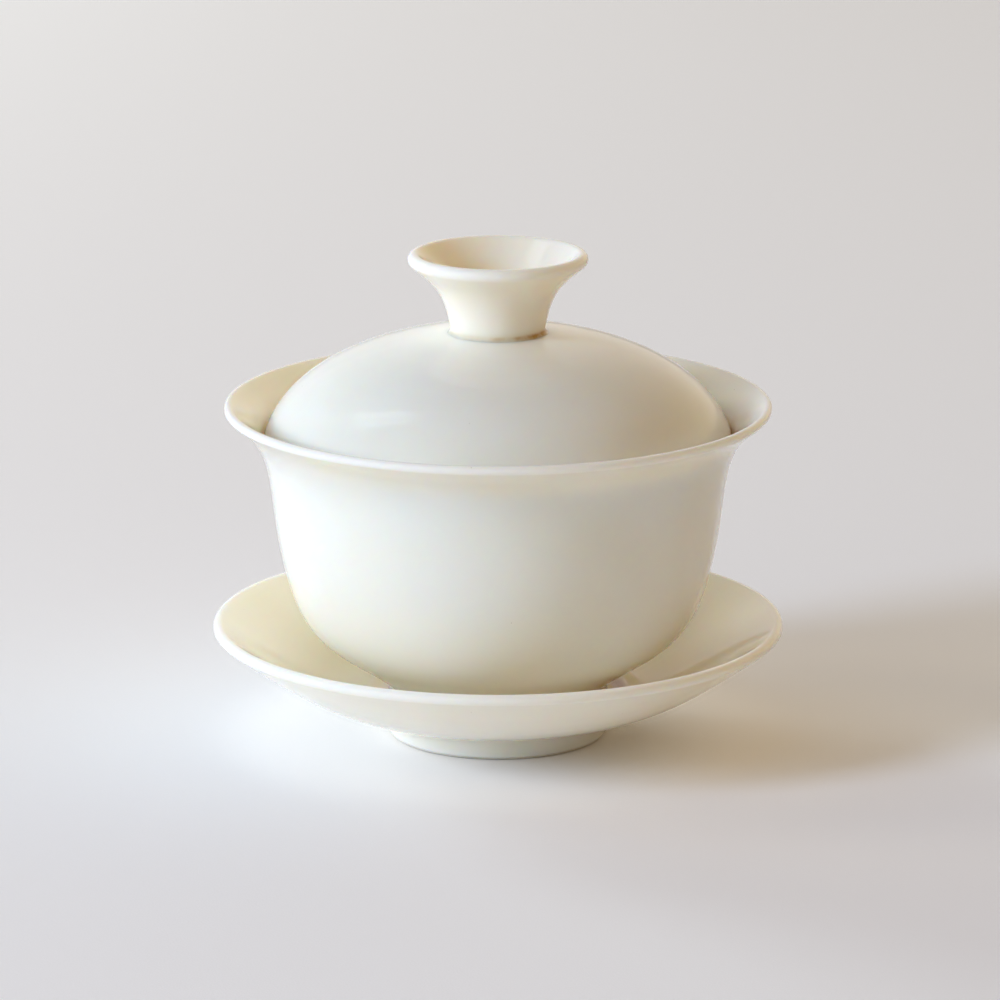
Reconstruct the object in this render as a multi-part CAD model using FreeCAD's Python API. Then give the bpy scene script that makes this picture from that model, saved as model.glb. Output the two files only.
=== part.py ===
"""Covered tea bowl (gaiwan) in glazed white porcelain: a footed saucer, a flared bowl and a domed lid.

Every piece is turned about one upright axis, so each is a profile drawn in the plane of radius and
height and revolved by a full turn.  The origin is the centre of the saucer's foot, on the table, and
+Z is up.  Sizes are in millimetres.
"""
import FreeCAD, Part
import math
import os

# ---- driving dimensions ---------------------------------------------------------------------------

# saucer
saucer_foot_radius = 19.9        # outside of the foot ring, where it stands on the table
saucer_foot_width = 2.4          # thickness of the foot ring
saucer_foot_top = 5.3            # where the foot ring runs into the dish
saucer_recess = 3.7              # hollow inside the foot ring
saucer_seat_height = 7.2         # floor that the bowl stands on
saucer_seat_radius = 21.6        # the sunk seat that keeps the bowl centred
saucer_seat_depth = 0.8
saucer_lip_radius = 50.96        # centre line of the rounded rim
saucer_lip_height = 20.35
saucer_lip_round = 1.04
saucer_rim_slope = 34.0          # rise of the dish at the rim, in degrees

# bowl
bowl_foot_radius = 20.0
bowl_foot_width = 2.5
bowl_foot_height = 2.5
bowl_floor_thickness = 2.7
bowl_waist_radius = 39.7         # outside of the wall where belly and flare meet
bowl_waist_height = 35.4
bowl_waist_slope = 0.19          # growth of the radius per unit of height at the waist
bowl_wall = 2.1
bowl_lip_radius = 48.72
bowl_lip_height = 61.04
bowl_lip_round = 0.86
bowl_rim_slope = 33.0

# lid
lid_apex_height = 75.3
lid_edge_radius = 42.2           # outside of the dome where its rounded edge starts
lid_edge_height = 56.4
lid_edge_round = 0.9
lid_edge_slope = -72.0           # the dome falls away this steeply at its edge
lid_wall = 2.1

# ring-shaped knob on the lid
knob_neck_radius = 8.4
knob_neck_bore = 6.3
knob_root_height = 74.2          # the neck is drawn into the dome's wall, then cut off by it
knob_lip_radius = 15.05
knob_lip_height = 88.21
knob_lip_round = 1.24
knob_rim_slope = 39.5

foot_edge_round = 0.6            # rounding of both foot rings where they stand


# ---- drawing helpers ------------------------------------------------------------------------------

def at(radius, height):
    """A point of a profile."""
    return FreeCAD.Vector(radius, 0, height)


def heading(degrees):
    """The unit direction that climbs at this angle while it leads away from the axis."""
    angle = math.radians(degrees)
    return at(math.cos(angle), math.sin(angle))


def line(start, end):
    return Part.makeLine(start, end)


def curve(*poles):
    """A Bezier curve: it leaves the first pole towards the second and comes in along the last two."""
    bezier = Part.BezierCurve()
    bezier.setPoles(list(poles))
    return bezier.toShape()


def rounding(start, middle, end):
    return Part.Arc(start, middle, end).toShape()


def rim(radius, height, round_radius, slope):
    """The lower, end and upper points of a half-round edge on a wall that runs at this slope."""
    centre = at(radius, height)
    along = heading(slope) * round_radius
    across = heading(slope - 90) * round_radius
    return centre + across, centre + along, centre - across


def foot_ring(outside, width, bottom, wall_top, recess_top):
    """A foot ring's edges, from the axis out to the top of its outer wall."""
    inside = outside - width
    soft = foot_edge_round
    diagonal = soft * math.sqrt(0.5)
    inner_wall = line(at(inside, recess_top), at(inside, bottom + soft))
    inner_edge = rounding(at(inside, bottom + soft),
                          at(inside + soft - diagonal, bottom + soft - diagonal),
                          at(inside + soft, bottom))
    tread = line(at(inside + soft, bottom), at(outside - soft, bottom))
    outer_edge = rounding(at(outside - soft, bottom),
                          at(outside - soft + diagonal, bottom + soft - diagonal),
                          at(outside, bottom + soft))
    outer_wall = line(at(outside, bottom + soft), wall_top)
    ceiling = line(at(0, recess_top), at(inside, recess_top))
    return [ceiling, inner_wall, inner_edge, tread, outer_edge, outer_wall]


def turned(edges):
    """The solid made by turning a closed profile about the upright axis."""
    face = Part.Face(Part.Wire(edges))
    solid = face.revolve(FreeCAD.Vector(0, 0, 0), FreeCAD.Vector(0, 0, 1), 360)
    return solid if solid.Volume > 0 else solid.reversed()


# ---- the pieces -----------------------------------------------------------------------------------

def make_saucer():
    """A wide dish on a foot ring, with a shallow sunk seat for the bowl's foot."""
    below, end, above = rim(saucer_lip_radius, saucer_lip_height, saucer_lip_round, saucer_rim_slope)
    root = at(saucer_foot_radius + 0.7, saucer_foot_top)
    run_in = heading(saucer_rim_slope) * 9.4
    floor_level = saucer_seat_height + saucer_seat_depth
    seat_edge = at(saucer_seat_radius, saucer_seat_height)
    floor_start = at(saucer_seat_radius + 1.4, floor_level)
    edges = foot_ring(saucer_foot_radius, saucer_foot_width, 0, root, saucer_recess)
    edges.append(curve(root, at(34.2, saucer_foot_top), below - run_in, below))
    edges.append(rounding(below, end, above))
    edges.append(curve(above, above - run_in, at(33.0, floor_level), floor_start))
    edges.append(curve(floor_start, floor_start - at(0.7, 0), seat_edge + at(0.7, 0), seat_edge))
    edges.append(line(seat_edge, at(0, saucer_seat_height)))
    edges.append(line(at(0, saucer_seat_height), at(0, saucer_recess)))
    return turned(edges)


def make_bowl():
    """A deep bowl on a foot ring: round belly, slightly hollow waist and a flared rim."""
    below, end, above = rim(bowl_lip_radius, bowl_lip_height, bowl_lip_round, bowl_rim_slope)
    foot_bottom = saucer_seat_height
    recess_top = foot_bottom + bowl_foot_height
    floor_level = recess_top + bowl_floor_thickness
    root = at(bowl_foot_radius, recess_top)
    waist = at(bowl_waist_radius, bowl_waist_height)
    rise = at(bowl_waist_slope, 1)
    wall_shift = at(-1, bowl_waist_slope).normalize() * bowl_wall
    inner_waist = waist + wall_shift
    flare = heading(bowl_rim_slope) * 10.8
    edges = foot_ring(bowl_foot_radius, bowl_foot_width, foot_bottom, root, recess_top)
    edges.append(curve(root, at(30.8, 18.4), waist - rise * 19.2, waist))
    edges.append(curve(waist, waist + rise * 12.0, below - flare, below))
    edges.append(rounding(below, end, above))
    edges.append(curve(above, above - flare, inner_waist + rise * 12.0, inner_waist))
    edges.append(curve(inner_waist, inner_waist - rise * 17.5, at(24.0, floor_level), at(0, floor_level)))
    edges.append(line(at(0, floor_level), at(0, recess_top)))
    return turned(edges)


def make_lid_dome():
    """A low dome, open below, whose rounded edge sits inside the bowl's flare."""
    fall = heading(lid_edge_slope)
    outward = heading(lid_edge_slope + 90)
    outside = at(lid_edge_radius, lid_edge_height)
    inside = outside - outward * (2 * lid_edge_round)
    tip = outside - outward * lid_edge_round + fall * lid_edge_round
    apex = at(0, lid_apex_height)
    ceiling = at(0, lid_apex_height - lid_wall)
    edges = [
        line(ceiling, apex),
        curve(apex, apex + at(21.2, 0), outside - fall * 12.3, outside),
        rounding(outside, tip, inside),
        curve(inside, inside - fall * 11.3, ceiling + at(20.2, 0), ceiling),
    ]
    return turned(edges)


def make_lid_knob(dome):
    """A flared ring stuck on the dome: the lid's grip, and its foot when it lies upside down."""
    below, end, above = rim(knob_lip_radius, knob_lip_height, knob_lip_round, knob_rim_slope)
    flare = heading(knob_rim_slope) * 5.7
    neck_outside = at(knob_neck_radius, knob_root_height)
    neck_inside = at(knob_neck_bore, knob_root_height)
    edges = [
        line(neck_inside, neck_outside),
        curve(neck_outside, neck_outside + at(1.7, 8.6), below - flare, below),
        rounding(below, end, above),
        curve(above, above - flare, neck_inside + at(0.4, 9.0), neck_inside),
    ]
    ring = turned(edges)
    return ring.cut(dome)


# ---- writing the pieces ---------------------------------------------------------------------------

os.makedirs("parts", exist_ok=True)
lid_dome = make_lid_dome()
pieces = {
    "saucer": make_saucer(),
    "bowl": make_bowl(),
    "lid_dome": lid_dome,
    "lid_knob": make_lid_knob(lid_dome),
}
for name, shape in pieces.items():
    print(name, "valid", shape.isValid(), "solids", len(shape.Solids), "volume", round(shape.Volume, 1))
    shape.exportStep("parts/" + name + ".step")
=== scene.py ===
# %% [markdown]
# # A porcelain gaiwan
# A gaiwan is a covered tea bowl in three loose parts: a saucer, a bowl with a flared rim, and a domed lid
# with a hollow knob.  Each part is formed on a wheel, so each is a profile turned about one upright axis.
# The CAD model fixes every size and every joint.  This lesson makes the glazed skins that stand for its
# four solids, the finish of the porcelain, and a small daylight set to look at it in.

# %% Load the CAD frame
import math
import bpy
import numpy as np
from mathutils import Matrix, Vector


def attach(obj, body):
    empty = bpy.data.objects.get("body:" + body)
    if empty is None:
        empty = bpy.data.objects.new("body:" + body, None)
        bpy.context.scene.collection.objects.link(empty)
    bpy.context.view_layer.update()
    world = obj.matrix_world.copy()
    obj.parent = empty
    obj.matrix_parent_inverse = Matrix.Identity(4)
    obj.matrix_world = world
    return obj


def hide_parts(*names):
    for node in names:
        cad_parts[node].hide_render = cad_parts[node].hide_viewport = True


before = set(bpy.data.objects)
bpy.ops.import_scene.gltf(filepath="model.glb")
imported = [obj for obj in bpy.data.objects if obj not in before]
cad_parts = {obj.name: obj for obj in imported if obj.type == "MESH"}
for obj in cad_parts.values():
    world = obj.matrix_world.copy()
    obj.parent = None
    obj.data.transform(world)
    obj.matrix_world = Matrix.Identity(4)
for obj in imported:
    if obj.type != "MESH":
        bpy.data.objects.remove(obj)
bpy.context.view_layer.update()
MM = 0.001

# %% [markdown]
# ## Strokes of a profile
# A profile is a list of points (radius, height) in millimetres.  Three strokes draw all of them: a
# straight line, a Bezier curve for the thrown walls, and a half circle for each rounded rim.  Blender's
# own curves could do it too, but plain arrays can be measured, softened and spaced before a mesh exists.

# %% Strokes
def straight(start, end, count=40):
    """Even steps from start to end."""
    share = np.linspace(0, 1, count)[:, None]
    return np.array(start) * (1 - share) + np.array(end) * share


def bezier(*poles, count=200):
    """Blend neighbouring poles by the same share, then blend the blends, until one point is left."""
    share = np.linspace(0, 1, count)[:, None]
    layer = [np.array(pole, float) for pole in poles]
    while len(layer) > 1:
        layer = [before * (1 - share) + after * share for before, after in zip(layer, layer[1:])]
    return layer[0]


def heading(degrees):
    """Unit step that climbs at this angle while it leads away from the axis."""
    return np.array([math.cos(math.radians(degrees)), math.sin(math.radians(degrees))])


def half_round(centre, reach, slope, turned=180, count=48):
    """Part of a circle about the rim's centre line, from the wall's under side round to its upper side."""
    angle = np.radians(np.linspace(slope - 90, slope - 90 + turned, count))
    return np.array(centre) + reach * np.column_stack([np.cos(angle), np.sin(angle)])


def join(*strokes):
    """One profile from strokes that meet end to end, with each shared point kept once."""
    return np.vstack([strokes[0]] + [stroke[1:] for stroke in strokes[1:]])


print("a step that climbs at 34 degrees:", heading(34).round(3))

# %% [markdown]
# ## What molten glaze does to a line
# Glaze has surface tension when it melts, so no corner of a glazed pot stays sharp: it draws back from
# edges and fills hollows.  A running average along the profile does the same to every corner at once.
# A Bevel modifier would need a list of edges, and it would leave the hollows alone.

# %% Soften a line
STEP = 0.04  # mm between two points of a fine line
EDGE_REACH = 0.25  # mm over which surface tension rounds a corner
HOLLOW_REACH = 0.3  # mm over which the turning of a line is averaged


def even_steps(profile):
    """The same line with points STEP apart along its length."""
    length = np.concatenate([[0], np.cumsum(np.hypot(*np.diff(profile, axis=0).T))])
    places = np.linspace(0, length[-1], int(length[-1] / STEP) + 1)
    return np.column_stack([np.interp(places, length, profile[:, axis]) for axis in (0, 1)])


def average(line, reach, ring, odd):
    """Running average weighted by exp(-(distance / reach) squared / 2).  A ring wraps round.  An open line
    is mirrored past the axis, and a value that changes sign there is odd."""
    width = int(4 * reach / STEP)
    weights = np.exp(-0.5 * (np.arange(-width, width + 1) * STEP / reach) ** 2)
    before, after = line[-width:], line[:width]
    if not ring:
        sign = -1 if odd else 1
        before, after = sign * line[width:0:-1], sign * line[-2:-width - 2:-1]
    return np.convolve(np.concatenate([before, line, after]), weights / weights.sum(), "valid")


def soften(profile, ring):
    """Running average of radius and of height; the ends of an open line stay on the axis."""
    fine = even_steps(profile)
    radius = average(fine[:, 0], EDGE_REACH, ring, True)
    height = average(fine[:, 1], EDGE_REACH, ring, False)
    if not ring:
        radius[[0, -1]] = 0
    return np.column_stack([radius, height])


print(f"corners are rounded over {EDGE_REACH} mm")

# %% [markdown]
# ## Where glaze gathers, where light and shade are painted, and where it is wiped off
# Four marks go with each point of a line, because the material needs them.  *Hollow* is how sharply the
# line turns inwards: glaze fills a hollow and runs thin on a rim.  *Pool* is where it ran down to and lies
# deep, and where the colour is also lightened and warmed as painted bounce light.  *Stain* is painted
# warm shade where two pieces meet.  *Bare* is how far inside a wiped band the point lies.  A pot is fired
# standing on that band, so its glaze is sponged off on the wheel, or it would stick to the kiln shelf.  The
# bare clay is lower by the glaze's thickness.  Painting the marks by hand would also work, but marks made
# from the line itself stay right when the shape changes.

# %% Hollow, pooled glaze with painted bounce light, painted shade, and bare
MARKS = ("hollow", "pool_and_glow", "painted_shade", "bare")
GLAZE = 0.11  # mm, thickness of the coat
STEP_WIDTH = 0.12  # mm over which the coat ends
BEAD_HEIGHT = 0.4 * GLAZE
BEAD_INSET = 0.3  # mm from the edge of the coat to the top of its bead
BEAD_WIDTH = 0.2
NO_BAND = -9.0  # mm: far outside any wiped band


def outward(line):
    """Unit step out of the clay: the way along the line, a quarter turn clockwise."""
    along = np.gradient(line, axis=0)
    along /= np.hypot(*along.T)[:, None]
    return np.column_stack([along[:, 1], -along[:, 0]])


def hollowness(line, ring):
    """Turning per millimetre, above 0 in a hollow and below 0 on an edge, averaged over its neighbours."""
    along = np.gradient(line, axis=0)
    turning = np.gradient(np.unwrap(np.arctan2(along[:, 1], along[:, 0])))
    return average(-turning / np.hypot(*along.T), HOLLOW_REACH, ring, False)


UP, DOWN, ANY_WAY = 1, -1, 0


def near(line, places):
    """Sum of depth times exp(-(distance / reach) squared) over the places.  A place that faces up or down
    counts only on the side of the clay that faces that way."""
    lift = outward(line)[:, 1]
    total = np.zeros(len(line))
    for point, reach, way, depth in places:
        share = np.clip(3 * way * lift, 0, 1) if way else 1
        total += depth * share * np.exp(-(np.hypot(*(line - point).T) / reach) ** 2)
    return total


def wiped(line, middle, half_width):
    """Distance along the line into a band about its point nearest to middle; below 0 it is outside."""
    nearest = np.argmin(np.hypot(*(line - middle).T))
    return half_width - STEP * np.abs(np.arange(len(line)) - nearest)


def crowd(columns, count):
    """Points at even steps of distance plus twice the turning, so that bends get more than straights."""
    step = np.diff(columns[:, :2], axis=0)
    length = np.hypot(*step.T)
    turning = np.abs(np.gradient(np.unwrap(np.arctan2(step[:, 1], step[:, 0]))))
    measure = np.concatenate([[0], np.cumsum(length / length.sum() + 2 * turning / turning.sum())])
    places = np.linspace(0, measure[-1], count)
    return np.column_stack([np.interp(places, measure, column) for column in columns.T])


def finish_line(profile, count, pools_and_glows, painted_shade_spots, band=None, ring=False):
    """Rows of radius, height and the four marks.  The line moves out by the bead, BEAD_HEIGHT times
    exp(-(distance to its top / width) squared), and back by the coat's thickness where the clay is bare.
    Both moves are sideways only, so that the height on the table and in the seat stays the same."""
    line = soften(profile, ring)
    hollow = hollowness(line, ring)
    # Pool also carries painted bounce light, and stain is painted warm shade in the joins.
    pool_and_glow, painted_shade = near(line, pools_and_glows), near(line, painted_shade_spots)
    bare = wiped(line, *band) if band else np.full(len(line), NO_BAND)
    step_back = GLAZE * np.clip(bare / STEP_WIDTH + 0.5, 0, 1)
    bead = BEAD_HEIGHT * np.exp(-((bare + BEAD_INSET) / BEAD_WIDTH) ** 2)
    out = outward(line)
    line = line + out * ((bead - step_back) * np.abs(out[:, 0]))[:, None]
    return crowd(np.column_stack([line, hollow, pool_and_glow, painted_shade, bare]), count)


print("marks on every point:", ", ".join(MARKS))

# %% [markdown]
# ## Turning a line into a mesh
# The potter's wheel is one formula: x = radius cos(angle), y = radius sin(angle), z = height.  The Screw
# and Spin tools use it too, but arrays carry the marks along.  A rib that shapes the wall climbs a little
# with each turn, so it leaves a spiral too shallow to feel, which only a reflection shows.

# %% Turn
AROUND = 300
ANGLE = np.linspace(0, 2 * np.pi, AROUND, endpoint=False)
RIB_PITCH = 4.6  # mm that the rib climbs in one turn
RIB_DEPTH = 0.005


def rib_marks(rows):
    """Depth times cos(2 pi length / pitch + angle), a spiral that fades out towards bare clay."""
    length = np.cumsum(np.hypot(*np.gradient(rows[:, :2], axis=0).T))[:, None]
    return RIB_DEPTH * np.cos(2 * np.pi * length / RIB_PITCH + ANGLE) * np.clip(-rows[:, -1:], 0, 1)


def litres(line):
    """Cones between neighbouring points: pi/3 (r1 r1 + r1 r2 + r2 r2) times the height between them."""
    r, z = np.vstack([line, line[:1]]).T
    return np.pi / 3 * np.sum((r[:-1] ** 2 + r[:-1] * r[1:] + r[1:] ** 2) * np.diff(z)) * MM ** 2


def turn(name, rows, offset, ring=False):
    """(radius cos, radius sin, height) of each row at every angle, moved out of the clay by offset.  Quads
    join neighbours, and a fan of triangles closes each end of an open line."""
    out = outward(rows[:, :2])
    radius = rows[:, :1] + offset * out[:, :1]
    height = rows[:, 1:2] + offset * out[:, 1:]
    grid = np.stack([radius * np.cos(ANGLE), radius * np.sin(ANGLE), height], axis=-1)
    body = slice(None) if ring else slice(1, -1)
    vertices = grid[body].reshape(-1, 3)
    marks = np.repeat(rows[body, 2:], AROUND, axis=0)
    count = len(rows[body])
    row, column = np.meshgrid(np.arange(count if ring else count - 1), np.arange(AROUND), indexing="ij")
    here, above = row * AROUND, (row + 1) % count * AROUND
    beside = (column + 1) % AROUND
    corners = [here + column, here + beside, above + beside, above + column]
    faces = np.stack(corners, axis=-1).reshape(-1, 4).tolist()
    if not ring:
        first = np.arange(AROUND)
        second = (first + 1) % AROUND
        last_row = (count - 1) * AROUND
        start_pole, end_pole = np.full(AROUND, len(vertices)), np.full(AROUND, len(vertices) + 1)
        faces += np.column_stack([start_pole, second, first]).tolist()
        faces += np.column_stack([end_pole, last_row + first, last_row + second]).tolist()
        vertices = np.vstack([vertices, [[0, 0, rows[0, 1]], [0, 0, rows[-1, 1]]]])
        marks = np.vstack([marks, rows[[0, -1], 2:]])
    mesh = bpy.data.meshes.new(name)
    mesh.from_pydata((vertices * MM).tolist(), [], faces)
    mesh.polygons.foreach_set("use_smooth", np.ones(len(mesh.polygons), bool))
    for mark, values in zip(MARKS, marks.T.astype(np.float32)):
        mesh.attributes.new(mark, "FLOAT", "POINT").data.foreach_set("value", np.ascontiguousarray(values))
    piece = bpy.data.objects.new(name, mesh)
    bpy.context.scene.collection.objects.link(piece)
    print(f"{name}: {len(mesh.polygons)} faces, {litres(rows[:, :2]) * 1000:.1f} ml of porcelain")
    return piece


# %% [markdown]
# ## The saucer
# The saucer is a wide dish.  Its foot ring lifts it off the table, and a shallow seat in the middle keeps
# the bowl centred.  The tread of the foot is wiped bare.  A saucer could also be made from a cylinder with
# its edges bevelled, but then the seat and the foot would need cuts.  One turned line holds them all, and
# its sizes are the CAD model's.

# %% Foot ring
SEAT_HEIGHT = 7.2
SEAT_DEPTH = 0.8
FOOT_EDGE = 0.6  # rounding of both foot rings
WIPED_FOOT = 1.45  # half the width of the band that is wiped on a foot


def foot_ring(outside, width, bottom, wall_top, ceiling):
    """Straight lines and two quarter circles: from the axis under the foot, down its inner side, across
    the tread and up the outer side."""
    inside = outside - width
    lowest = bottom + FOOT_EDGE
    return join(
        straight((0, ceiling), (inside, ceiling)),
        straight((inside, ceiling), (inside, lowest)),
        half_round((inside + FOOT_EDGE, lowest), FOOT_EDGE, 270, 90),
        straight((inside + FOOT_EDGE, bottom), (outside - FOOT_EDGE, bottom)),
        half_round((outside - FOOT_EDGE, lowest), FOOT_EDGE, 0, 90),
        straight((outside, lowest), wall_top),
    )


print(f"the bowl stands {SEAT_HEIGHT} mm above the table")

# %% Saucer
SAUCER_FOOT = 19.9
SAUCER_LIP = (50.96, 20.35)
SAUCER_LIP_ROUND = 1.04
SAUCER_SLOPE = 34
SEAT_EDGE = 20.9


def saucer_profile():
    """Foot ring, under side, half-round lip, upper side, then an S curve down into the flat seat."""
    rim = half_round(SAUCER_LIP, SAUCER_LIP_ROUND, SAUCER_SLOPE)
    run_in = heading(SAUCER_SLOPE) * 9.4
    root = (SAUCER_FOOT + 0.7, 5.3)
    floor = SEAT_HEIGHT + SEAT_DEPTH
    step_top = (SEAT_EDGE + 3.7, floor)
    step_foot = (SEAT_EDGE, SEAT_HEIGHT)
    return join(
        foot_ring(SAUCER_FOOT, 2.4, 0, root, 3.7),
        bezier(root, (34.2, 5.3), rim[0] - run_in, rim[0]),
        rim,
        bezier(rim[-1], rim[-1] - run_in, (33, floor), step_top),
        bezier(step_top, (SEAT_EDGE + 1.7, floor), (SEAT_EDGE + 2, SEAT_HEIGHT), step_foot),
        straight(step_foot, (0, SEAT_HEIGHT)),
    )


saucer_rows = finish_line(
    saucer_profile(), 230,
    # Pooled glaze with painted bounce light, and painted warm shade in the seat.
    pools_and_glows=[((24, 8), 15, UP, 1)],
    painted_shade_spots=[((22, 7.5), 1.6, UP, 0.9)],
    band=((18.7, 0), WIPED_FOOT),
)
saucer = turn("saucer_dish", saucer_rows, rib_marks(saucer_rows))

# %% [markdown]
# ## The bowl
# The bowl's wall is two curves: a round belly, then a slightly hollow waist that opens into the flare.
# They share their direction at the waist, so the join can't be seen.  One longer curve could pass through
# both, but then a change to the belly would also move the flare.

# %% Bowl
WALL = 2.1
BOWL_FOOT = 20
BOWL_LIP = (48.72, 61.04)
BOWL_LIP_ROUND = 0.86
BOWL_SLOPE = 33
WAIST = np.array([39.7, 35.4])
WAIST_LEAN = 0.19  # growth of the radius per unit of height at the waist


def bowl_profile():
    """Foot ring, belly and flare outside, half-round lip, then flare and belly inside, a wall away."""
    rim = half_round(BOWL_LIP, BOWL_LIP_ROUND, BOWL_SLOPE)
    flare = heading(BOWL_SLOPE) * 10.8
    waist = WAIST
    rise = np.array([WAIST_LEAN, 1])
    across = np.array([-1, WAIST_LEAN]) / math.hypot(1, WAIST_LEAN)
    inner = waist + across * WALL
    root = (BOWL_FOOT, SEAT_HEIGHT + 2.5)
    floor = SEAT_HEIGHT + 5.2
    return join(
        foot_ring(BOWL_FOOT, 2.5, SEAT_HEIGHT, root, SEAT_HEIGHT + 2.5),
        bezier(root, (30.8, 18.4), waist - rise * 19.2, waist),
        bezier(waist, waist + rise * 12, rim[0] - flare, rim[0]),
        rim,
        bezier(rim[-1], rim[-1] - flare, inner + rise * 12, inner),
        bezier(inner, inner - rise * 17.5, (24, floor), (0, floor)),
    )


LID_REST = (42.35, 55.75)  # where the lid's edge meets the flare
bowl_rows = finish_line(
    bowl_profile(), 250,
    # Pooled glaze with painted bounce light, and painted warm shade by the foot and under the lid's edge.
    pools_and_glows=[((20, 9.7), 12, DOWN, 1), ((24, 12.4), 12, UP, 1)],
    painted_shade_spots=[((20, 9.7), 1.4, ANY_WAY, 0.7), (LID_REST, 1.2, UP, 0.6)],
    band=((18.75, SEAT_HEIGHT), WIPED_FOOT),
)
bowl = turn("tea_bowl", bowl_rows, rib_marks(bowl_rows))

# %% [markdown]
# ## The lid's dome
# The dome is open below.  Its rounded edge sits inside the bowl's flare, a hair clear of it.  The lid is
# fired standing on that edge, so the edge is wiped bare too.  A cut sphere would be quicker, but this dome
# is flatter at its top than at its edge, which a Bezier curve can follow.

# %% Lid dome
APEX = 75.3
DOME_SLOPE = -72  # fall of the dome at its edge, in degrees
EDGE_ROUND = 0.9
WIPED_EDGE = 0.5  # half the width of the band that is wiped on the edge
dome_edge = np.array([42.2, 56.4])
dome_fall = heading(DOME_SLOPE)
edge_centre = dome_edge - heading(DOME_SLOPE + 90) * EDGE_ROUND


def dome_outside():
    """One Bezier curve, level at the apex and steep at the edge."""
    return bezier((0, APEX), (21.2, APEX), dome_edge - dome_fall * 12.3, dome_edge, count=300)


def dome_profile():
    """From the ceiling's pole down the inner side, round the edge and up the outer side to the apex."""
    edge = half_round(edge_centre, EDGE_ROUND, DOME_SLOPE)
    ceiling = APEX - WALL
    inside = bezier((0, ceiling), (20.2, ceiling), edge[0] - dome_fall * 11.3, edge[0])
    return join(inside, edge, dome_outside()[::-1])


lid_rows = finish_line(
    dome_profile(), 220,
    # Pooled glaze with painted bounce light, and painted warm shade at the edge.
    pools_and_glows=[((0, APEX), 5, UP, 1)],
    painted_shade_spots=[(LID_REST, 1.0, ANY_WAY, 0.6)],
    band=(edge_centre + dome_fall * EDGE_ROUND, WIPED_EDGE),
)
lid = turn("lid_dome_glazed", lid_rows, rib_marks(lid_rows))

# %% [markdown]
# ## The knob
# The knob is a small flared ring, thrown by itself and stuck to the leather-hard dome with liquid clay.
# The potter runs a wet brush round the join, so the wall sweeps out to meet the dome in a fillet that is
# never quite even.  The ring's line is a closed loop that doesn't touch the axis.  The fillet runs out just
# under the dome's surface, and the rest of the root is sunk in its wall.  A boolean union would also close
# the join, but it leaves long thin faces in the glaze.

# %% Knob
KNOB_LIP = (15.05, 88.21)
KNOB_LIP_ROUND = 1.24
KNOB_SLOPE = 39.5
FILLET_OUTSIDE, FILLET_INSIDE = 9.9, 4.2
UNDER = np.array([0, -0.25])
SUNK = np.array([0, -0.5])


def dome_height(radius):
    """Height of the dome's outer surface at this radius."""
    line = dome_outside()
    return np.interp(radius, line[:, 0], line[:, 1])


def dome_step(radius):
    """A point on the dome, and one millimetre's step outwards along it."""
    fall = (dome_height(radius + 0.1) - dome_height(radius)) / 0.1
    return np.array([radius, dome_height(radius)]), np.array([1, fall])


def knob_profile():
    """Under the dome from the inner fillet to the outer one, up the neck, round the lip and down inside."""
    rim = half_round(KNOB_LIP, KNOB_LIP_ROUND, KNOB_SLOPE)
    flare = heading(KNOB_SLOPE) * 5.7
    outer, outer_slope = dome_step(FILLET_OUTSIDE)
    inner, inner_slope = dome_step(FILLET_INSIDE)
    outer, inner = outer + UNDER, inner + UNDER
    neck_out, neck_in = np.array([8.62, 75.9]), np.array([6.45, 77.2])
    return join(
        straight(inner + SUNK, outer + SUNK),
        straight(outer + SUNK, outer, 12),
        bezier(outer, outer - outer_slope * 0.9, neck_out - (0.1, 0.6), neck_out),
        bezier(neck_out, neck_out + (1.25, 6.6), rim[0] - flare, rim[0]),
        rim,
        bezier(rim[-1], rim[-1] - flare, neck_in + (0.3, 7.2), neck_in),
        bezier(neck_in, neck_in - (0.1, 1.0), inner + inner_slope * 1.3, inner),
        straight(inner, inner + SUNK, 12),
    )[:-1]


# %% Brush marks round the knob's root
FILLET_WAVES = ((5, 0.045, 0.7), (9, 0.03, 2.1), (14, 0.02, 4.0))  # count, size in mm, start
FILLET_REACH = 0.8


def brushed_fillet(rows):
    """Sum of size cos(count angle + start), times exp(-(height above the dome / reach) squared)."""
    above = rows[:, 1:2] - dome_height(rows[:, :1])
    waves = sum(size * np.cos(count * ANGLE + start) for count, size, start in FILLET_WAVES)
    return waves * np.exp(-(above / FILLET_REACH) ** 2)


knob_rows = finish_line(
    knob_profile(), 220,
    # Pooled glaze with painted bounce light, and painted warm shade at the root and in the hollow.
    pools_and_glows=[((5, 78), 8, UP, 1)],
    painted_shade_spots=[((8.8, 75.2), 0.6, ANY_WAY, 0.8), ((5, 76.5), 5, UP, 1)],
    ring=True,
)
knob = turn("lid_knob_glazed", knob_rows, brushed_fillet(knob_rows) + rib_marks(knob_rows), ring=True)

# %% [markdown]
# ## Helpers for materials
# A finish is a small graph of nodes.  One function adds a node and fills it in.  Names with spaces in
# Blender are written with _ here.  A second turns the size of a pattern in millimetres into a Scale.

# %% Material helpers
def linear(code):
    """An sRGB hex code as linear red, green, blue and alpha."""
    values = np.array([int(code[place:place + 2], 16) for place in (0, 2, 4)]) / 255
    return (*np.where(values <= 0.04045, values / 12.92, ((values + 0.055) / 1.055) ** 2.4), 1.0)


def add(tree, kind, result=None, **settings):
    """Add one node and return its output.  A setting is the node's own option, a link or a value."""
    node = tree.nodes.new("ShaderNode" + kind)
    for name, value in settings.items():
        if hasattr(node, name):
            setattr(node, name, value)
            continue
        socket = next(each for each in node.inputs if each.identifier.replace(" ", "_") == name)
        if isinstance(value, bpy.types.NodeSocket):
            tree.links.new(value, socket)
        else:
            socket.default_value = value
    return next((each for each in node.outputs if each.enabled and result in (None, each.name)), node)


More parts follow.
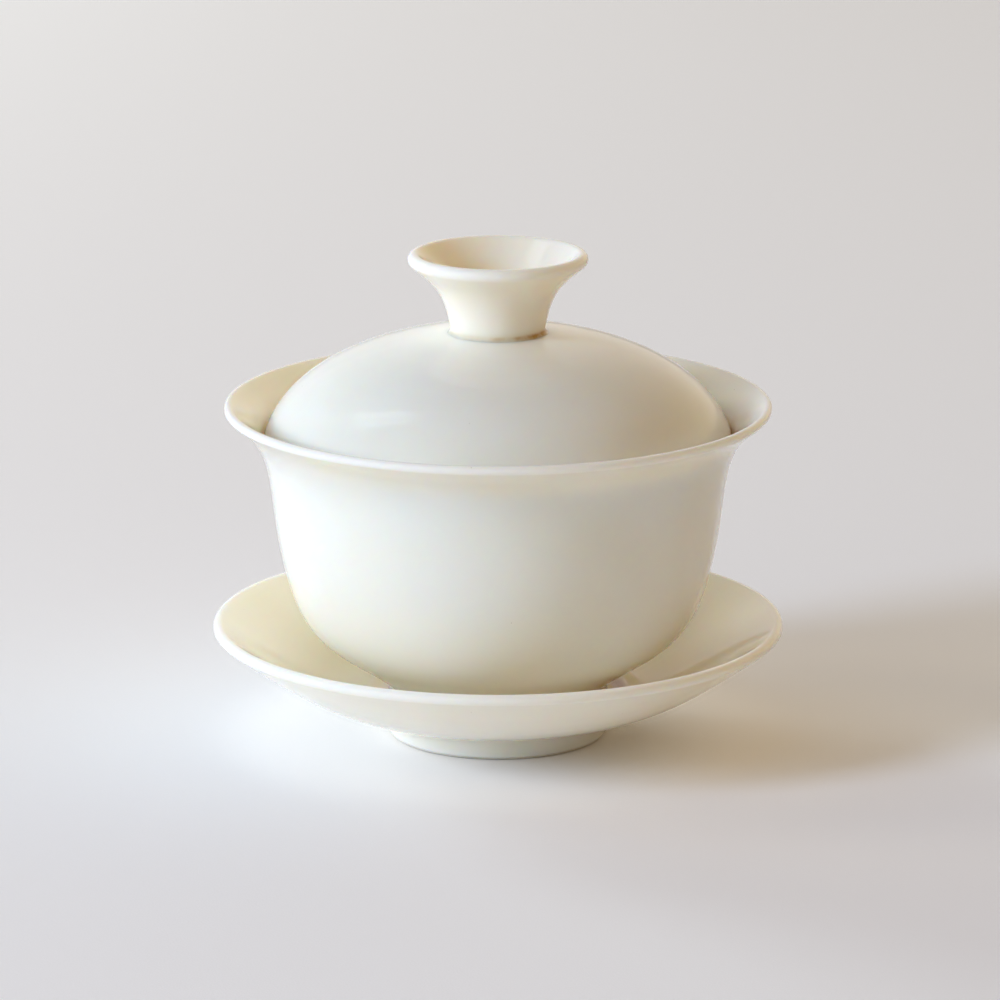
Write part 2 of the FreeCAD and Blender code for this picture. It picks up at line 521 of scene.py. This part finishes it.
def every(millimetres):
    """The Scale that repeats a pattern about once in so many millimetres."""
    return 1 / (millimetres * MM)


def new_material(name):
    """An empty material and its node tree."""
    material = bpy.data.materials.new(name)
    material.use_nodes = True
    material.node_tree.nodes.clear()
    return material, material.node_tree


print("sRGB 808080 sends back", round(float(linear("808080")[0]), 3), "of the light")


# %% [markdown]
# ## The porcelain
# The body is porcelain: white clay fired at about 1300 degrees until it turns partly to glass, so light
# goes a millimetre or two into it.  Over it lies a clear glaze a tenth of a millimetre thick, whose trace
# of iron makes it ivory.  The eye sees a soft, slightly creamy white under a hard, wet gloss.  The colour
# needs several causes to look right: the glaze is a warmer ivory where it pools, which also serves as
# painted bounce light in the creases; it is thin and white on the rims; painted warm shade turns the
# joins amber; the clay varies in slow clouds, and a few grains of iron burn through as specks.

# %% Porcelain colour
porcelain, tree = new_material("ivory_glazed_porcelain")
place = add(tree, "TexCoord", "Object")
hollow = add(tree, "Attribute", "Fac", attribute_name="hollow")
bare_distance = add(tree, "Attribute", "Fac", attribute_name="bare")
bare = add(tree, "MapRange", Value=bare_distance, From_Min=-0.04, From_Max=0.04)

clouds = add(tree, "TexNoise", Vector=place, Scale=every(17), Detail=3.0, Roughness=0.5)
cloudy = add(tree, "MapRange", Value=clouds, From_Min=0.35, From_Max=0.65)
colour = add(tree, "Mix", data_type="RGBA", Factor_Float=cloudy,
             A_Color=linear("F6F2E7"), B_Color=linear("F4F0E3"))

# Where glaze pools the colour turns a warmer ivory; it is also painted bounce light that lightens the
# creases.
pool_and_glow_mark = add(tree, "Attribute", "Fac", attribute_name="pool_and_glow")
pool_and_glow_clouds = add(tree, "MapRange", Value=clouds, From_Min=0.3, From_Max=0.7, To_Min=0.6, To_Max=0.9)
pool_and_glow_share = add(tree, "Math", operation="MULTIPLY", Value=pool_and_glow_mark, Value_001=pool_and_glow_clouds)
colour = add(tree, "Mix", data_type="RGBA", Factor_Float=pool_and_glow_share, A_Color=colour, B_Color=linear("FAEFD2"))

filled = add(tree, "MapRange", Value=hollow, From_Min=0.05, From_Max=1.2, To_Max=0.6)
colour = add(tree, "Mix", data_type="RGBA", Factor_Float=filled, A_Color=colour, B_Color=linear("F2E8CC"))

edge = add(tree, "MapRange", Value=hollow, From_Min=-0.2, From_Max=-0.9, To_Max=0.6)
colour = add(tree, "Mix", data_type="RGBA", Factor_Float=edge, A_Color=colour, B_Color=linear("F7F5EE"))
print(porcelain.name, "has", len(tree.nodes), "nodes for its plain colour")

# %% [markdown]
# ### Painted shade in the joins
# Warm amber shade is painted where two pieces meet: round the knob's root, under the lid's edge and
# under the bowl.  It is painted strongest on the side away from the light, and it is broken up by noise,
# so that it is never even.

# %% Painted shade in the joins
# Painted warm amber shade in the joins, strongest on the side away from the light.
SHADED_SIDE = (0.85, -0.5, 0.0)
flat_place = add(tree, "VectorMath", operation="MULTIPLY", Vector=place, Vector_001=(1, 1, 0))
around = add(tree, "VectorMath", operation="NORMALIZE", Vector=flat_place)
side = add(tree, "VectorMath", "Value", operation="DOT_PRODUCT", Vector=around, Vector_001=SHADED_SIDE)
side_share = add(tree, "MapRange", Value=side, From_Min=0.3, From_Max=0.95, To_Min=0.15, To_Max=1.0)
shade_patches = add(tree, "TexNoise", Vector=place, Scale=every(5), Detail=4.0, Roughness=0.6)
broken = add(tree, "MapRange", Value=shade_patches, From_Min=0.35, From_Max=0.6, To_Min=0.3, To_Max=1.0)
painted_shade = add(tree, "Attribute", "Fac", attribute_name="painted_shade")
patch_share = add(tree, "Math", operation="MULTIPLY", Value=side_share, Value_001=broken)
warm_shade = add(tree, "Math", operation="MULTIPLY", Value=painted_shade, Value_001=patch_share)
colour = add(tree, "Mix", data_type="RGBA", Factor_Float=warm_shade, A_Color=colour, B_Color=linear("C39854"))
shaded_way = math.degrees(math.atan2(SHADED_SIDE[1], SHADED_SIDE[0]))
print("The stain is strongest", round(shaded_way), "degrees round from +X")

# %% [markdown]
# ### Specks and bare clay
# A speck shows where the surface cuts a tiny ball round a cell's point, so most cells show none.  Bare
# clay is what the wiped rings under the feet and round the lid's edge show: buff, matt and gritty.

# %% Specks and bare clay
SPECK_CELL = 6.2
SPECK_RADIUS = 0.14
SPECK_EDGE = SPECK_RADIUS / SPECK_CELL
cells = add(tree, "TexVoronoi", "Distance", Vector=place, Scale=every(SPECK_CELL))
speck = add(tree, "MapRange", Value=cells, From_Min=SPECK_EDGE, From_Max=0.3 * SPECK_EDGE, To_Max=0.55)
colour = add(tree, "Mix", data_type="RGBA", Factor_Float=speck, A_Color=colour, B_Color=linear("8A6A48"))

grit = add(tree, "TexNoise", Vector=place, Scale=every(0.35), Detail=2.0, Roughness=0.7)
biscuit = add(tree, "Mix", data_type="RGBA", Factor_Float=grit,
              A_Color=linear("D8CDB8"), B_Color=linear("EDE6D8"))
# The bare clay in the joins gets the same painted warm shade.
biscuit = add(tree, "Mix", data_type="RGBA", Factor_Float=warm_shade, A_Color=biscuit, B_Color=linear("A87A45"))
colour = add(tree, "Mix", data_type="RGBA", Factor_Float=bare, A_Color=colour, B_Color=biscuit)
SQUARE_DECIMETRE = 100 ** 2
specks = 2 * SPECK_RADIUS * SQUARE_DECIMETRE / SPECK_CELL ** 3
print("A square decimetre of glaze cuts about", round(specks), "specks")

# %% [markdown]
# ### Gloss and relief
# A fired glaze is smooth but not flat.  It has a long, soft unevenness a few micrometres deep, like the
# skin of an orange seen from afar, which bends the edges of a reflected window, and here and there a
# pinhole where a bubble burst.  The relief is in millimetres, so its depth can be read off.  The bare
# clay is matt and gritty.

# %% Porcelain gloss and relief
sheen_clouds = add(tree, "TexNoise", Vector=place, Scale=every(11), Detail=2.0)
glaze_roughness = add(tree, "MapRange", Value=sheen_clouds, From_Min=0.3, From_Max=0.7,
                      To_Min=0.05, To_Max=0.085)
roughness = add(tree, "Mix", data_type="FLOAT", Factor_Float=bare, A_Float=glaze_roughness, B_Float=0.82)

ORANGE_PEEL = 0.006
PINHOLE_CELL = 5.4
PINHOLE_RADIUS = 0.16
PINHOLE_EDGE = PINHOLE_RADIUS / PINHOLE_CELL
PINHOLE_DEPTH = 0.03
GRIT_DEPTH = 0.06
peel = add(tree, "TexNoise", Vector=place, Scale=every(3.2), Detail=1.0, Roughness=0.4)
peel_height = add(tree, "Math", operation="MULTIPLY", Value=peel, Value_001=ORANGE_PEEL)
hole_cells = add(tree, "TexVoronoi", "Distance", Vector=place, Scale=every(PINHOLE_CELL))
hole = add(tree, "MapRange", Value=hole_cells, From_Min=PINHOLE_EDGE, From_Max=0.0,
           To_Max=-PINHOLE_DEPTH, interpolation_type="SMOOTHSTEP")
glaze_height = add(tree, "Math", operation="ADD", Value=peel_height, Value_001=hole)
grit_height = add(tree, "Math", operation="MULTIPLY", Value=grit, Value_001=GRIT_DEPTH)
height = add(tree, "Mix", data_type="FLOAT", Factor_Float=bare, A_Float=glaze_height, B_Float=grit_height)
relief = add(tree, "Bump", Height=height, Strength=1.0, Distance=MM)

shader = add(tree, "BsdfPrincipled", Base_Color=colour, Roughness=roughness, Normal=relief, IOR=1.5,
             Subsurface_Weight=0.8, Subsurface_Radius=(3.0, 2.2, 1.4), Subsurface_Scale=MM)
add(tree, "OutputMaterial", Surface=shader)
print(porcelain.name, "has", len(tree.nodes), "nodes in all")

# %% [markdown]
# ### Dress the four pieces
# All four are thrown from the same clay and dipped in the same glaze, so they share one material.  Each
# rides on the body that a hand lifts it with, and stands for the plain solid of the same piece.

# %% Give each piece its finish and body, and hide its plain solid
for piece, body, node in ((saucer, "saucer", "saucer"), (bowl, "bowl", "bowl"),
                          (lid, "lid", "lid_dome"), (knob, "lid", "lid_knob")):
    piece.data.materials.append(porcelain)
    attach(piece, body)
    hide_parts(node)
    print(piece.name, "rides on", body, "and stands for", node)

# %% [markdown]
# ## The set
# The gaiwan stands on a sheet of uncoated paper.  Its fibres lie a few tenths of a millimetre apart, so
# their tint and relief only just show at this distance.  The sheet is made far wider than a real one, so
# that its edge stays out of the main view.

# %% Paper
FIBRE = 0.45
FIBRE_DEPTH = 0.03
paper, tree = new_material("uncoated_paper")
place = add(tree, "TexCoord", "Object")
fibres = add(tree, "TexNoise", Vector=place, Scale=every(FIBRE), Detail=2.0, Roughness=0.6)
tint = add(tree, "Mix", data_type="RGBA", Factor_Float=fibres,
           A_Color=linear("F8F8F8"), B_Color=linear("FCFCFC"))
fibre_height = add(tree, "Math", operation="MULTIPLY", Value=fibres, Value_001=FIBRE_DEPTH)
relief = add(tree, "Bump", Height=fibre_height, Strength=1.0, Distance=MM)
shader = add(tree, "BsdfPrincipled", Base_Color=tint, Roughness=0.9, Normal=relief)
add(tree, "OutputMaterial", Surface=shader)

REACH = 8.0
corners = [(-REACH, -REACH, 0), (REACH, -REACH, 0), (REACH, REACH, 0), (-REACH, REACH, 0)]
sheet = bpy.data.meshes.new("paper_sheet")
sheet.from_pydata(corners, [], [(0, 1, 2, 3)])
sheet.materials.append(paper)
floor = bpy.data.objects.new("paper_sheet", sheet)
bpy.context.scene.collection.objects.link(floor)
print(floor.name, "reaches", REACH, "m each way")

# %% [markdown]
# ### Daylight
# The light is a bright room by day, mostly from the left.  It could be a picture of a real room wrapped
# round the scene, but patches of light that are worked out are easier to move and to understand.  The
# world is the walls and one window.  Each wall is a broad patch, strongest in its own direction.

# %% Walls of the room
# Each wall: azimuth and elevation in degrees, colour, strength.
WALLS = (
    (45, 8, "FFF9EE", 1.19),
    (180, 8, "FBF8FA", 0.77),
    (225, 8, "FFEBBA", 0.74),
    (270, 8, "FFBCA5", 0.12),
    (270, 45, "FFBC60", 0.36),
    (0, 45, "FFE8A4", 0.31),
    (90, 45, "309CFF", 0.30),
)
WALL_FALL = 4.0


def towards(azimuth, elevation):
    """Unit step to a place in the room.  Azimuth 0 is behind the camera and 90 is on the left."""
    azimuth, elevation = math.radians(azimuth), math.radians(elevation)
    level = math.cos(elevation)
    return Vector((-level * math.sin(azimuth), -level * math.cos(azimuth), math.sin(elevation)))


world = bpy.data.worlds.new("room")
world.use_nodes = True
room = world.node_tree
room.nodes.clear()
direction = add(room, "TexCoord", "Generated")
glow = (0.0, 0.0, 0.0)
for azimuth, elevation, tint, strength in WALLS:
    facing = add(room, "VectorMath", "Value", operation="DOT_PRODUCT", Vector=direction,
                 Vector_001=towards(azimuth, elevation))
    facing = add(room, "Math", operation="MAXIMUM", Value=facing, Value_001=0.0)
    share = add(room, "Math", operation="POWER", Value=facing, Value_001=WALL_FALL)
    wall = add(room, "VectorMath", operation="SCALE", Vector=linear(tint)[:3], Scale=share)
    wall = add(room, "VectorMath", operation="SCALE", Vector=wall, Scale=strength)
    glow = add(room, "VectorMath", operation="ADD", Vector=wall, Vector_001=glow)
print("The room has", len(WALLS), "walls of light")

# %% [markdown]
# ### The window
# The window is an opening between two azimuths and two elevations, with one upright bar.  Its edges are
# a little soft, so that a reflection of it looks like glass and not like paper.

# %% Window
WINDOW_LEFT, WINDOW_RIGHT = 109, 130
WINDOW_SILL, WINDOW_HEAD = 45, 64
BAR, BAR_WIDTH = 118, 2
SOFT = 3
WINDOW_LIGHT = 1.5


def between(angle, low, high):
    """1 where the angle lies between low and high degrees, falling to 0 over SOFT degrees."""
    low, high, half = math.radians(low), math.radians(high), math.radians(SOFT / 2)
    rise = add(room, "MapRange", Value=angle, From_Min=low - half, From_Max=low + half)
    fall = add(room, "MapRange", Value=angle, From_Min=high + half, From_Max=high - half)
    return add(room, "Math", operation="MULTIPLY", Value=rise, Value_001=fall)


back = add(room, "VectorMath", operation="SCALE", Vector=direction, Scale=-1.0)
left, nearer, down = [add(room, "SeparateXYZ", letter, Vector=back) for letter in "XYZ"]
across = add(room, "Math", operation="ARCTAN2", Value=left, Value_001=nearer)
below = add(room, "Math", operation="ARCSINE", Value=down)
glass = add(room, "Math", operation="MULTIPLY", Value=between(across, WINDOW_LEFT, WINDOW_RIGHT),
            Value_001=between(below, -WINDOW_HEAD, -WINDOW_SILL))
bar = between(across, BAR - BAR_WIDTH / 2, BAR + BAR_WIDTH / 2)
clear = add(room, "Math", operation="SUBTRACT", Value=1.0, Value_001=bar)
glass = add(room, "Math", operation="MULTIPLY", Value=glass, Value_001=clear)
sky = add(room, "VectorMath", operation="SCALE", Vector=linear("EDF9FF")[:3], Scale=glass)
sky = add(room, "VectorMath", operation="SCALE", Vector=sky, Scale=WINDOW_LIGHT)
glow = add(room, "VectorMath", operation="ADD", Vector=sky, Vector_001=glow)
background = add(room, "Background", Color=glow)
add(room, "OutputWorld", Surface=background)
bpy.context.scene.world = world
print("Window", WINDOW_RIGHT - WINDOW_LEFT, "degrees wide and", WINDOW_HEAD - WINDOW_SILL, "degrees high")

# %% [markdown]
# ### Soft boxes
# Three large lamps on the left throw the shadows.  A cool one beside the camera models the round walls, a
# pale one behind lights the table, and a small warm one is the low sun.  They are hidden from
# reflections, because there the eye should find a window, not a lamp.

# %% Soft boxes
# Each box: name, azimuth and elevation in degrees, width and height in metres, colour, power in watts.
SOFT_BOXES = (
    ("cool_sky", 65, 23, 0.47, 0.60, "CBDFFF", 22.2),
    ("pale_sky", 138, 12, 0.50, 0.45, "EEFAFF", 17.6),
    ("low_sun", 100, 17, 0.47, 0.26, "FFE7B8", 5.0),
)
SOFT_BOX_DISTANCE = 1.8
AIM = Vector((0, 0, 0.03))

for name, azimuth, elevation, width, height, tint, watts in SOFT_BOXES:
    box = bpy.data.lights.new(name, "AREA")
    box.shape = "RECTANGLE"
    box.size, box.size_y = width, height
    box.energy = watts
    box.color = linear(tint)[:3]
    lamp = bpy.data.objects.new(name, box)
    bpy.context.scene.collection.objects.link(lamp)
    lamp.visible_glossy = False
    lamp.location = towards(azimuth, elevation) * SOFT_BOX_DISTANCE
    lamp.rotation_euler = (AIM - lamp.location).to_track_quat("-Z", "Y").to_euler()
    print(name, "gives", watts, "W")

# %% [markdown]
# ## The camera
# A long lens from a metre away keeps the rims' ellipses calm, as in a catalogue view.  It looks down by
# less than 15 degrees, so that the saucer, the bowl and the lid each show a rim.

# %% Camera
LENS = 212.5
CAMERA_PLACE = (0.00036, -1.0395, 0.3086)
CAMERA_DOWN = 14.31
camera_data = bpy.data.cameras.new("camera")
camera_data.lens = LENS
camera_data.clip_start = 0.05
camera = bpy.data.objects.new("camera", camera_data)
bpy.context.scene.collection.objects.link(camera)
camera.location = CAMERA_PLACE
camera.rotation_euler = (math.radians(90 - CAMERA_DOWN), 0, 0)
bpy.context.scene.camera = camera
bpy.context.scene.view_settings.view_transform = "Standard"
print("The camera has a", LENS, "mm lens and looks down by", CAMERA_DOWN, "degrees")
